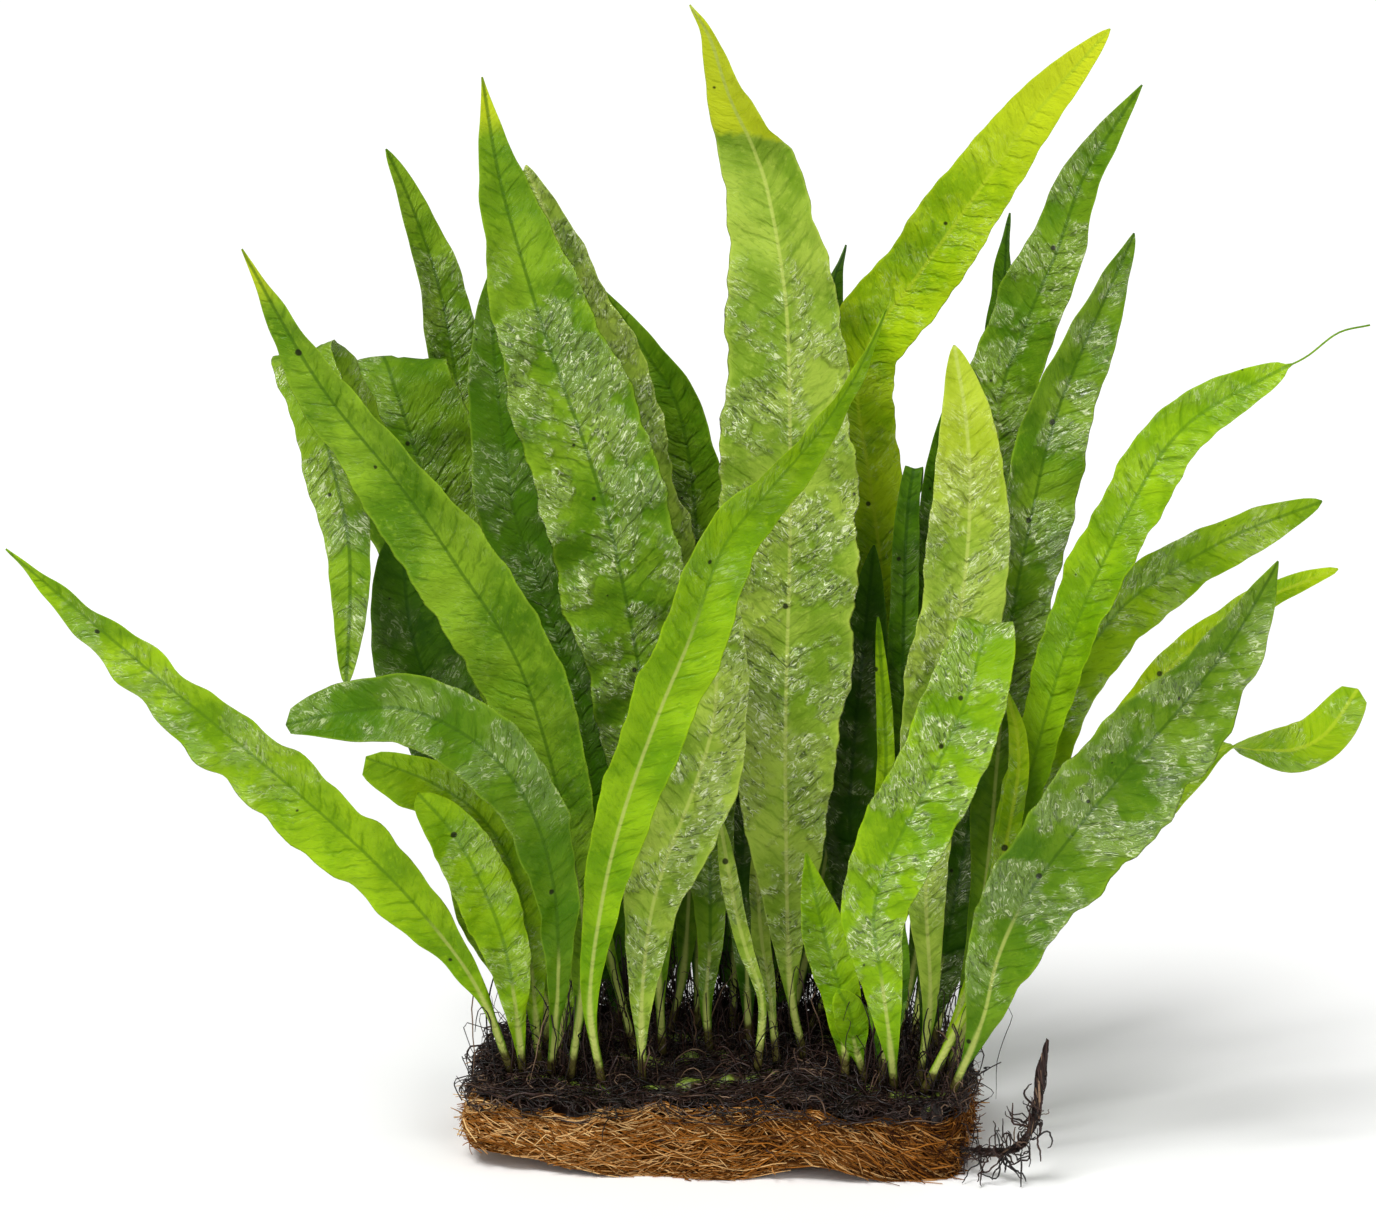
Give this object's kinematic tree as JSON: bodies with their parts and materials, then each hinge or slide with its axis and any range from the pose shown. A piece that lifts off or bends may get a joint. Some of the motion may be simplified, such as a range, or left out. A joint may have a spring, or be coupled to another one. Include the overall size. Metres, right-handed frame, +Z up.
{
  "type": "java fern mat",
  "caption": "Aquarium java fern: long pointed wet green leaves on creeping rhizomes, rooted in a dark root tangle over a rectangular coconut-fibre mat.",
  "frame": {"origin": "centre of the mat's flat underside, on the surface that the mat lies on", "axes": "+X along the mat's length, to the right as the picture sees it, +Y away from the picture's viewpoint, +Z up"},
  "size_m": [0.3314, 0.159, 0.2898],
  "materials": {
    "leaf_bright": "gloss",
    "leaf_mid": "gloss",
    "leaf_deep": "gloss",
    "leaf_yellow": "satin",
    "leaf_pale": "gloss",
    "rhizome": "satin",
    "roots": "matte",
    "coir": "matte"
  },
  "bodies": {
    "root": {"coir_mat": "coir", "leaf_01": "leaf_bright", "leaf_02": "leaf_mid", "leaf_03": "leaf_mid", "leaf_04": "leaf_bright", "leaf_05": "leaf_bright", "leaf_06": "leaf_mid", "leaf_07": "leaf_mid", "leaf_08": "leaf_deep", "leaf_09": "leaf_mid", "leaf_10": "leaf_mid", "leaf_11": "leaf_mid", "leaf_12": "leaf_bright", "leaf_13": "leaf_pale", "leaf_14": "leaf_mid", "leaf_15": "leaf_mid", "leaf_16": "leaf_pale", "leaf_17": "leaf_mid", "leaf_18": "leaf_deep", "leaf_19": "leaf_pale", "leaf_20": "leaf_deep", "leaf_21": "leaf_mid", "leaf_22": "leaf_pale", "leaf_23": "leaf_pale", "leaf_24": "leaf_bright", "leaf_25": "leaf_bright", "leaf_26": "leaf_deep", "leaf_27": "leaf_yellow", "leaf_28": "leaf_deep", "leaf_29": "leaf_bright", "leaf_30": "leaf_mid", "leaf_31": "leaf_yellow", "leaf_32": "leaf_deep", "leaf_33": "leaf_pale", "leaf_34": "leaf_bright", "leaf_35": "leaf_bright", "leaf_36": "leaf_yellow", "leaf_37": "leaf_mid", "leaf_38": "leaf_mid", "leaf_39": "leaf_yellow", "leaf_40": "leaf_deep", "leaf_41": "leaf_bright", "leaf_42": "leaf_deep", "leaf_43": "leaf_deep", "leaf_44": "leaf_mid", "leaf_45": "leaf_deep", "leaf_46": "leaf_deep", "leaf_47": "leaf_deep", "leaf_48": "leaf_mid", "leaf_49": "leaf_deep", "leaf_50": "leaf_deep", "rhizome_back": "rhizome", "rhizome_front": "rhizome", "rhizome_left": "rhizome", "rhizome_middle": "rhizome", "rhizome_right": "rhizome", "root_tangle": "roots", "side_roots": "roots"}
  },
  "joints": []
}
